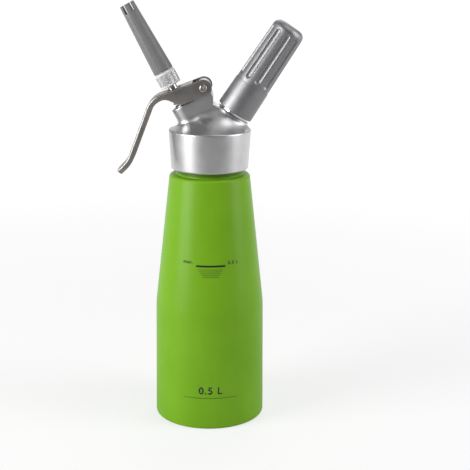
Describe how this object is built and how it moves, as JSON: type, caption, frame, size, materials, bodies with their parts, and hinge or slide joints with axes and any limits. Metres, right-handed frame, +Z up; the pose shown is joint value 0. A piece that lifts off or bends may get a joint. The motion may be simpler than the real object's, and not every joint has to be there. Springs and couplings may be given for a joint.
{
  "type": "whipped cream dispenser",
  "caption": "Whipped cream dispenser: tapered bottle, screw-on head with a sprung lever valve, open-star decorating tip and a fluted gas charger holder.",
  "frame": {"origin": "on the bottle's axis, in the plane of the ring that it stands on", "axes": "+Z up along the bottle's axis; the decorating tip and lever lean to -X, the charger holder to +X; Y = 0 is the head's plane of symmetry when the head is screwed home"},
  "size_m": [0.1311, 0.0804, 0.3039],
  "materials": {
    "lacquered_bottle": "satin green lacquer over drawn aluminium",
    "head_aluminium": "turned and brushed",
    "gasket_silicone": "smooth, pale grey",
    "lever_steel": "satin pressed steel",
    "washer_nylon": "matte white",
    "sleeve_nylon": "matte white",
    "screw_steel": "bright, with a cross slot",
    "nut_steel": "bright, domed",
    "stem_steel": "turned steel",
    "valve_rubber": "matte black",
    "o_ring_rubber": "matte black",
    "collar_steel": "turned steel",
    "spring_steel": "bright drawn wire",
    "adapter_aluminium": "straight-knurled band",
    "tip_washer_rubber": "thin pale ring",
    "tip_plastic": "matte grey",
    "pin_steel": "hardened steel point",
    "pin_seal_rubber": "matte black",
    "check_valve_brass": "turned",
    "flap_rubber": "matte black",
    "charger_steel": "bright drawn steel",
    "insert_aluminium": "bright turned ring",
    "holder_aluminium": "satin, with rounded flutes",
    "pad_rubber": "matte black"
  },
  "bodies": {
    "bottle": {"bottle_shell": "lacquered_bottle"},
    "seal": {"head_gasket": "gasket_silicone"},
    "head": {"head_body": "head_aluminium", "pivot_sleeve": "sleeve_nylon", "pivot_screw": "screw_steel", "pivot_nut": "nut_steel", "lever_washers": "washer_nylon", "piercing_pin": "pin_steel", "pin_seal": "pin_seal_rubber", "check_valve_body": "check_valve_brass", "check_valve_flap": "flap_rubber", "stem_o_ring": "o_ring_rubber", "valve_spring": "spring_steel"},
    "lever": {"lever": "lever_steel"},
    "valve": {"valve_stem": "stem_steel", "valve_seal": "valve_rubber", "spring_collar": "collar_steel", "tip_adapter": "adapter_aluminium"},
    "tip_seal": {"tip_washer": "tip_washer_rubber"},
    "tip": {"decorating_tip": "tip_plastic"},
    "charger": {"gas_charger": "charger_steel"},
    "holder": {"charger_holder": "holder_aluminium", "holder_insert": "insert_aluminium", "holder_pad": "pad_rubber"}
  },
  "joints": [
    {"name": "head_rise", "type": "slide", "parent": "bottle", "child": "seal", "axis": [0, 0, 1], "range_m": [0, 0.016]},
    {"name": "head_turn", "type": "hinge", "parent": "seal", "child": "head", "pos_m": [0, 0, 0.198], "axis": [0, 0, 1], "range_deg": [0, 721]},
    {"name": "lever_press", "type": "hinge", "parent": "head", "child": "lever", "pos_m": [-0.0043, 0, 0.2444], "axis": [0, -1, 0], "range_deg": [0, 12.02]},
    {"name": "stem_travel", "type": "slide", "parent": "head", "child": "valve", "axis": [0.4787, 0, -0.878], "range_m": [0, 0.00411], "stiffness_N_per_m": 1600, "springref_m": -0.008, "deforming": ["valve_spring"]},
    {"name": "tip_rise", "type": "slide", "parent": "valve", "child": "tip_seal", "axis": [-0.4787, 0, 0.878], "range_m": [0, 0.009]},
    {"name": "tip_turn", "type": "hinge", "parent": "tip_seal", "child": "tip", "pos_m": [-0.03255, 0, 0.255], "axis": [-0.4787, 0, 0.878], "range_deg": [0, 1082]},
    {"name": "holder_rise", "type": "slide", "parent": "head", "child": "charger", "axis": [0.5483, 0, 0.8363], "range_m": [0, 0.012]},
    {"name": "holder_turn", "type": "hinge", "parent": "charger", "child": "holder", "pos_m": [0.01864, 0, 0.22813], "axis": [0.5483, 0, 0.8363], "range_deg": [0, 1443]}
  ],
  "couplings": [
    {"joint": "head_turn", "follows": "head_rise", "rad_per_m": 785.4},
    {"joint": "lever_press", "follows": "stem_travel", "rad_per_m": 50.968},
    {"joint": "tip_turn", "follows": "tip_rise", "rad_per_m": 2094.4},
    {"joint": "holder_turn", "follows": "holder_rise", "rad_per_m": 2094.4}
  ]
}
